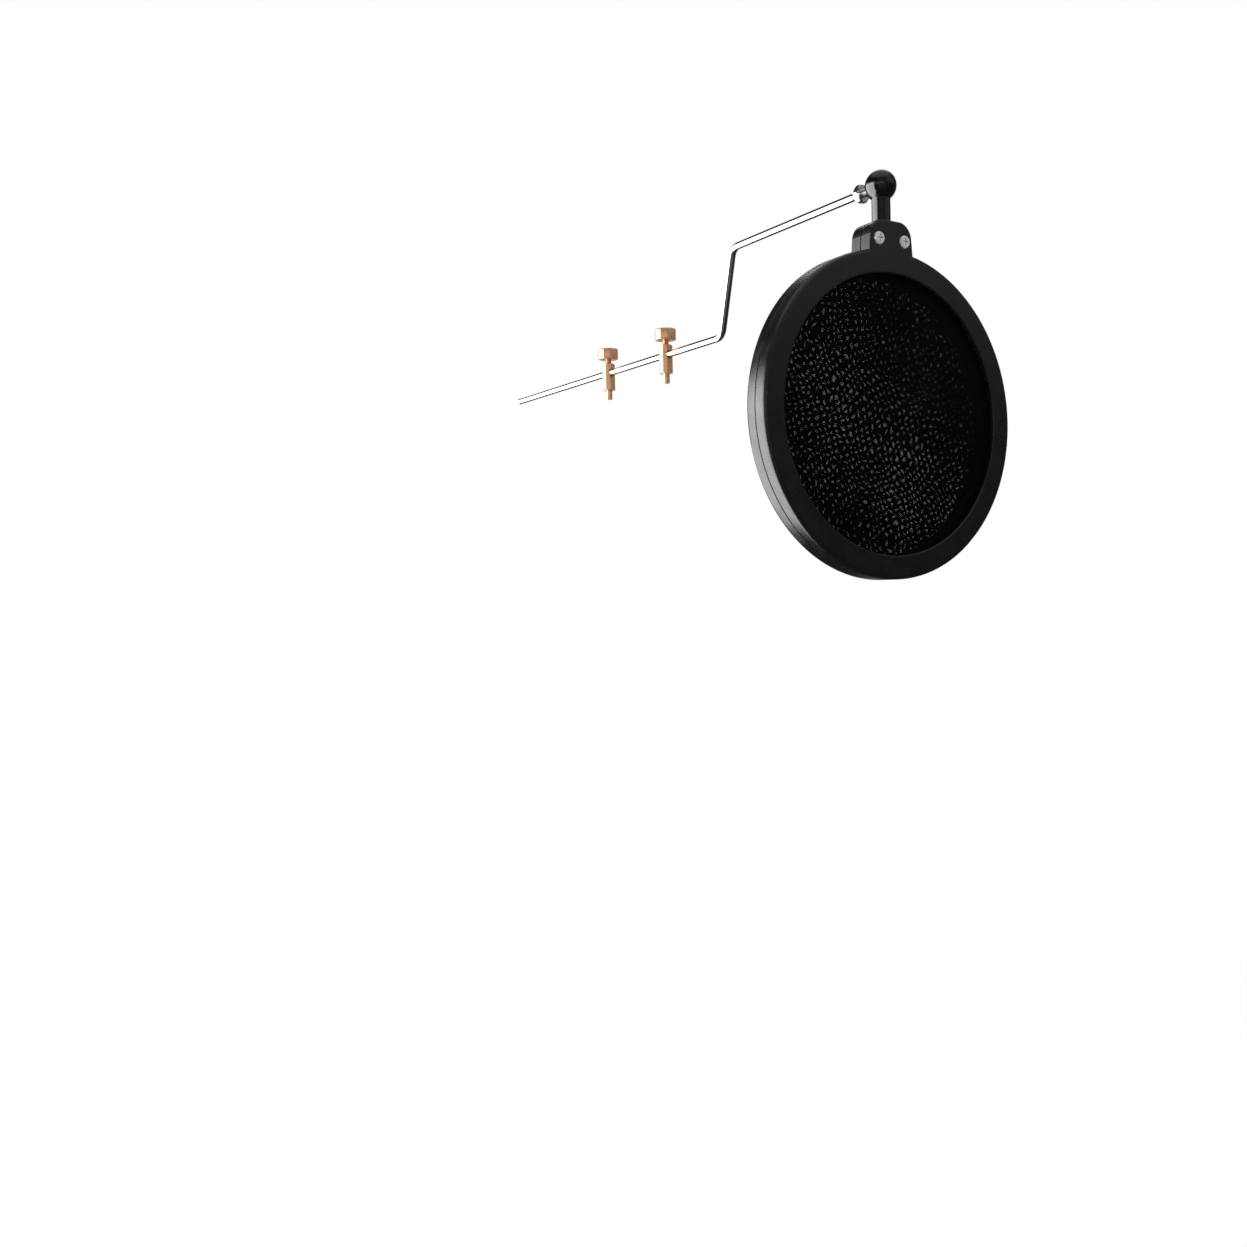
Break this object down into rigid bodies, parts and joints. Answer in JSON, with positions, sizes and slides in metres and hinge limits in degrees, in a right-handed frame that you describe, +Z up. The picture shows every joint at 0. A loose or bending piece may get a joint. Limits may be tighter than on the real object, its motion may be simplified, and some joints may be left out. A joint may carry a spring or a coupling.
{
  "type": "pop filter",
  "caption": "Double-mesh pop filter disc on a ball-topped stem and a bent chrome rod that slides through a pair of clamp posts with thumb screws.",
  "frame": {"origin": "midway between the two clamp posts, on the surface they stand on", "axes": "+Y along the rod towards its free tip, -Y the way the filter disc faces, -Z the way the posts' studs point, +Z up"},
  "size_m": [0.155, 0.3889, 0.194],
  "materials": {
    "ring_plastic": "satin black moulded plastic",
    "nylon_mesh": "black woven nylon mesh",
    "hoop_plastic": "black moulded plastic",
    "screw_nickel": "nickel plated",
    "stem_plastic": "gloss black moulded plastic",
    "insert_brass": "turned",
    "nut_chrome": "chrome plated",
    "rod_chrome": "chrome plated",
    "copper_plate": "rose copper plated, polished"
  },
  "bodies": {
    "clamp_posts": {"front_clamp_post": "copper_plate", "rear_clamp_post": "copper_plate"},
    "front_thumb_screw": {"front_thumb_screw": "copper_plate"},
    "rear_thumb_screw": {"rear_thumb_screw": "copper_plate"},
    "rod": {"bent_rod": "rod_chrome"},
    "lock_nut": {"lock_nut": "nut_chrome"},
    "ball_stem": {"ball_stem": "stem_plastic", "ball_insert": "insert_brass"},
    "filter_head": {"front_ring": "ring_plastic", "rear_ring": "ring_plastic", "front_mesh": "nylon_mesh", "rear_mesh": "nylon_mesh", "front_tension_hoop": "hoop_plastic", "rear_tension_hoop": "hoop_plastic", "spacer_ring": "hoop_plastic", "tab_screws": "screw_nickel", "tab_nuts": "screw_nickel"}
  },
  "joints": [
    {"name": "rod_slide", "type": "slide", "parent": "clamp_posts", "child": "rod", "axis": [0, 1, 0], "range_m": [-0.12, 0.045]},
    {"name": "front_thumb_screw_turn", "type": "hinge", "parent": "clamp_posts", "child": "front_thumb_screw", "pos_m": [0, -0.0335, 0.0166], "axis": [0, 0, 1], "continuous": true},
    {"name": "rear_thumb_screw_turn", "type": "hinge", "parent": "clamp_posts", "child": "rear_thumb_screw", "pos_m": [0, 0.0335, 0.0166], "axis": [0, 0, 1], "continuous": true},
    {"name": "lock_nut_turn", "type": "hinge", "parent": "rod", "child": "lock_nut", "pos_m": [0, -0.2067, 0.058], "axis": [0, 1, 0], "continuous": true},
    {"name": "ball_swivel", "type": "hinge", "parent": "rod", "child": "ball_stem", "pos_m": [0, -0.22, 0.058], "axis": [0, 1, 0], "range_deg": [-180, 180]},
    {"name": "stem_swivel", "type": "hinge", "parent": "ball_stem", "child": "filter_head", "pos_m": [0, -0.22, 0.031], "axis": [0, 0, 1], "range_deg": [-90, 90]}
  ]
}
